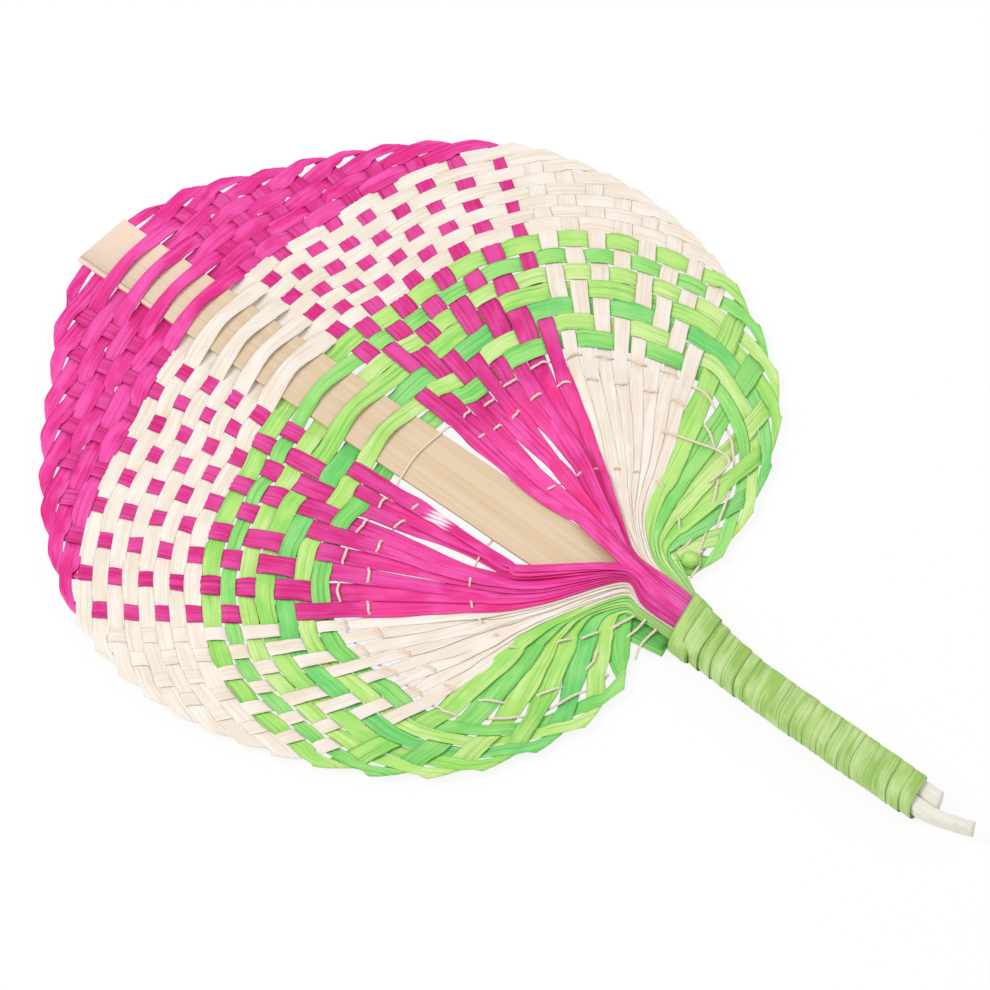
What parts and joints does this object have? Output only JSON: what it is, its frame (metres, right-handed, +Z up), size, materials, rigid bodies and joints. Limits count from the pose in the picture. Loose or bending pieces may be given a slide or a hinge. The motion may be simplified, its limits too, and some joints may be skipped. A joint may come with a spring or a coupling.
{
  "type": "woven hand fan",
  "caption": "Leaf-shaped hand fan woven of pink, natural and green flat strips on a bamboo slat, folded over at the rim and gathered at the neck into a wound handle.",
  "frame": {"origin": "middle of the underside of the fan's box, as it lies on its back", "axes": "+Y from the handle to the tip along the slat, +Z up out of the front of the blade, +X to the right"},
  "size_m": [0.2594, 0.368, 0.0112],
  "materials": {
    "pink": "satin dyed leaf",
    "natural": "satin undyed leaf",
    "green_light": "satin dyed leaf",
    "green_mid": "satin dyed leaf",
    "green_yellow": "satin dyed leaf",
    "green_emerald": "satin dyed leaf",
    "bamboo": "planed bamboo",
    "thread": "matt twisted thread",
    "wrap": "satin dyed leaf",
    "stick": "bare split stick"
  },
  "bodies": {
    "root": {"spine_slat": "bamboo", "pink_strip_1": "pink", "pink_strip_2": "pink", "pink_strip_3": "pink", "pink_strip_4": "pink", "pink_strip_5": "pink", "pink_strip_6": "pink", "pink_strip_7": "pink", "pink_strip_8": "pink", "pink_strip_9": "pink", "natural_strip_1": "natural", "natural_strip_2": "natural", "natural_strip_3": "natural", "natural_strip_4": "natural", "natural_strip_5": "natural", "natural_strip_6": "natural", "natural_strip_7": "natural", "natural_strip_8": "natural", "green_strip_1": "green_light", "green_strip_2": "green_mid", "green_strip_3": "green_yellow", "green_strip_4": "green_light", "green_strip_5": "green_emerald", "green_strip_6": "green_yellow", "green_strip_7": "green_mid", "outer_thread": "thread", "inner_thread": "thread", "collar_band": "wrap", "handle_winding": "wrap", "long_stick": "stick", "short_stick": "stick"}
  },
  "joints": []
}
